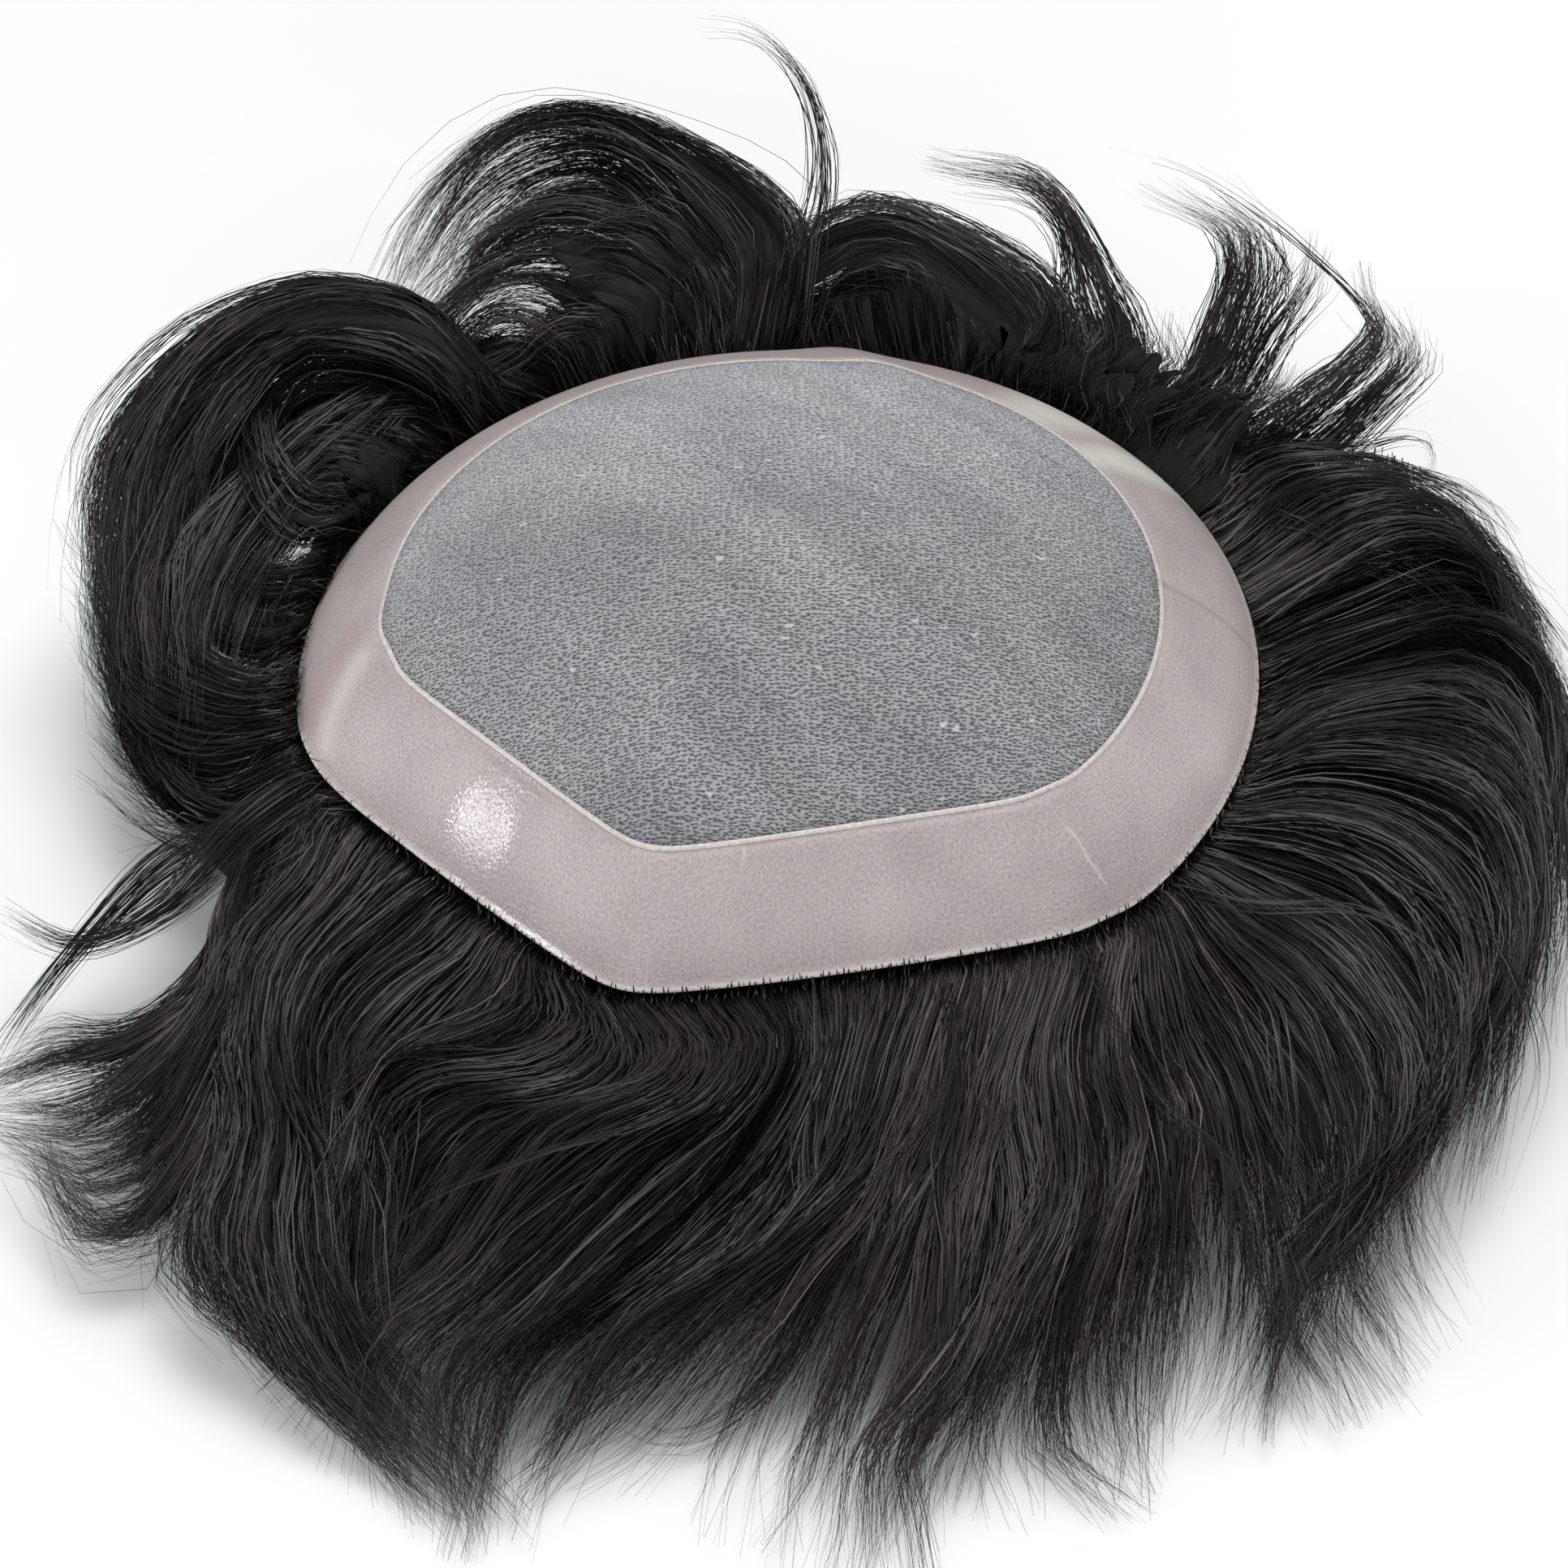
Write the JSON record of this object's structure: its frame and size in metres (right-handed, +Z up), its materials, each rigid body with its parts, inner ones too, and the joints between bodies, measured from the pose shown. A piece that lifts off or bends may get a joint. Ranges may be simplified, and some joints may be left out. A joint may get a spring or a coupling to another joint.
{
  "type": "toupee hairpiece",
  "caption": "Short wavy dark toupee lying inside out on its own hair, with a grey mesh panel, a smooth clear skin strip round it and locks that spread on all sides.",
  "frame": {"origin": "on the floor under the middle of the base, at the middle of the heap's flat foot", "axes": "+Z up, +X to the base's right seen from the front edge, +Y towards its rounded back edge"},
  "size_m": [0.294, 0.3475, 0.0993],
  "materials": {
    "mono_mesh": "fine grey monofilament mesh with small dark knots",
    "bond_film": "thin pale clear bonding line",
    "poly_skin": "pinkish beige polyurethane skin, fine grain, glossy where it bends",
    "hair": "near-black hair with soft brownish highlights"
  },
  "bodies": {
    "root": {"mono_panel": "mono_mesh", "bond_bead": "bond_film", "poly_rim": "poly_skin", "crown_hair": "hair", "front_hair": "hair", "right_hair": "hair", "back_hair": "hair", "left_hair": "hair"}
  },
  "joints": []
}
